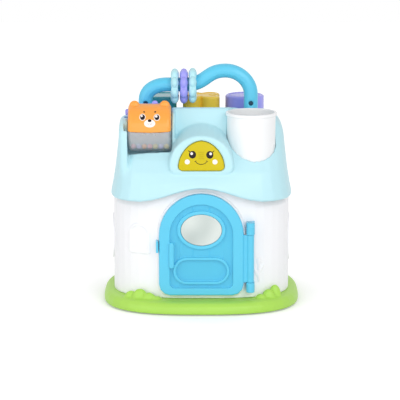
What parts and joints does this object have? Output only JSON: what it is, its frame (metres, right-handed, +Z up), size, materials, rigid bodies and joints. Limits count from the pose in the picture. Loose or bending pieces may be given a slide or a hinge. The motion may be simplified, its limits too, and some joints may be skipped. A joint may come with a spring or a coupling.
{
  "type": "shape sorter",
  "caption": "Toddler activity house: shape blocks post through its walls, with a hinged door, carrying handle, spinning rings, bead drum, press button and cup.",
  "frame": {"origin": "centre of the house's footprint on the plane that the feet stand on", "axes": "+Z up, -Y out of the door's face, +X to the right as seen by someone facing the door"},
  "size_m": [0.254, 0.228, 0.3084],
  "materials": {
    "grass_plastic": "satin moulded",
    "white_plastic": "satin moulded",
    "aqua_plastic": "satin moulded",
    "sky_plastic": "satin moulded",
    "lilac_plastic": "satin moulded",
    "orange_plastic": "satin moulded",
    "yellow_plastic": "satin moulded",
    "teal_plastic": "satin moulded",
    "pink_plastic": "satin moulded",
    "clear_plastic": "clear moulded",
    "mirror_film": "mirror film on plastic sheet",
    "screw_steel": "zinc plated",
    "painted_screw": "dark blue painted",
    "spring_steel": "drawn wire",
    "circuit_board": "solder resist",
    "speaker_metal": "pressed",
    "cell_can": "sleeved can",
    "foot_rubber": "matt"
  },
  "bodies": {
    "house": {"base_plate": "grass_plastic", "base_screw_front_left": "screw_steel", "base_screw_front_right": "screw_steel", "base_screw_rear_left": "screw_steel", "base_screw_rear_right": "screw_steel", "battery_1": "cell_can", "battery_2": "cell_can", "battery_box": "white_plastic", "battery_cover": "white_plastic", "battery_cover_screw": "screw_steel", "bracket_screw_lower": "screw_steel", "bracket_screw_upper": "screw_steel", "button_spring": "spring_steel", "circuit_board": "circuit_board", "cup": "white_plastic", "drum_axle": "screw_steel", "foot_front_left": "foot_rubber", "foot_front_right": "foot_rubber", "foot_rear_left": "foot_rubber", "foot_rear_right": "foot_rubber", "front_wall": "white_plastic", "handle_screw_left": "painted_screw", "handle_screw_right": "painted_screw", "handle_tube": "sky_plastic", "hinge_bracket_lower": "sky_plastic", "hinge_bracket_upper": "sky_plastic", "hinge_pin": "screw_steel", "latch_catch": "sky_plastic", "led": "clear_plastic", "left_wall": "white_plastic", "module_housing": "white_plastic", "rear_wall": "white_plastic", "right_wall": "white_plastic", "roof_shell": "aqua_plastic", "speaker": "speaker_metal"},
    "door": {"door": "sky_plastic", "door_mirror": "mirror_film"},
    "drum": {"drum_barrel": "clear_plastic", "drum_front_shell": "orange_plastic", "drum_rear_shell": "lilac_plastic"},
    "beads": {"bead_1": "pink_plastic", "bead_2": "lilac_plastic", "bead_3": "orange_plastic", "bead_4": "pink_plastic", "bead_5": "yellow_plastic", "bead_6": "lilac_plastic", "bead_7": "yellow_plastic"},
    "ring_left": {"ring_1": "aqua_plastic"},
    "ring_middle": {"ring_2": "lilac_plastic"},
    "ring_right": {"ring_3": "aqua_plastic"},
    "button": {"face_button": "yellow_plastic"},
    "square_block": {"block_square": "teal_plastic"},
    "flower_block": {"block_flower": "yellow_plastic"},
    "disc_block": {"block_disc": "lilac_plastic"}
  },
  "joints": [
    {"name": "door_hinge", "type": "hinge", "parent": "house", "child": "door", "pos_m": [0.0627, -0.0902, 0.022], "axis": [0, 0, 1], "range_deg": [0, 115]},
    {"name": "button_press", "type": "slide", "parent": "house", "child": "button", "axis": [0, 1, 0], "range_m": [0, 0.002], "stiffness_N_per_m": 600, "springref_m": -0.002, "deforming": ["button_spring"]},
    {"name": "drum_spin", "type": "hinge", "parent": "house", "child": "drum", "pos_m": [-0.066, -0.045, 0.232], "axis": [1, 0, 0], "continuous": true},
    {"name": "bead_roll", "type": "hinge", "parent": "house", "child": "beads", "pos_m": [-0.066, -0.045, 0.232], "axis": [1, 0, 0], "range_deg": [-60, 60]},
    {"name": "ring_left_turn", "type": "hinge", "parent": "house", "child": "ring_left", "pos_m": [-0.0344, -0.002, 0.27905], "axis": [1, 0, 0], "continuous": true},
    {"name": "ring_middle_turn", "type": "hinge", "parent": "house", "child": "ring_middle", "pos_m": [-0.0226, -0.002, 0.27905], "axis": [1, 0, 0], "continuous": true},
    {"name": "ring_right_turn", "type": "hinge", "parent": "house", "child": "ring_right", "pos_m": [-0.0112, -0.002, 0.27982], "axis": [1, 0, 0], "continuous": true},
    {"name": "square_block_lift", "type": "slide", "parent": "house", "child": "square_block", "axis": [0, 0, 1], "range_m": [0, 0.06]},
    {"name": "flower_block_lift", "type": "slide", "parent": "house", "child": "flower_block", "axis": [0, 0, 1], "range_m": [0, 0.06]},
    {"name": "disc_block_lift", "type": "slide", "parent": "house", "child": "disc_block", "axis": [0, 0, 1], "range_m": [0, 0.06]}
  ]
}
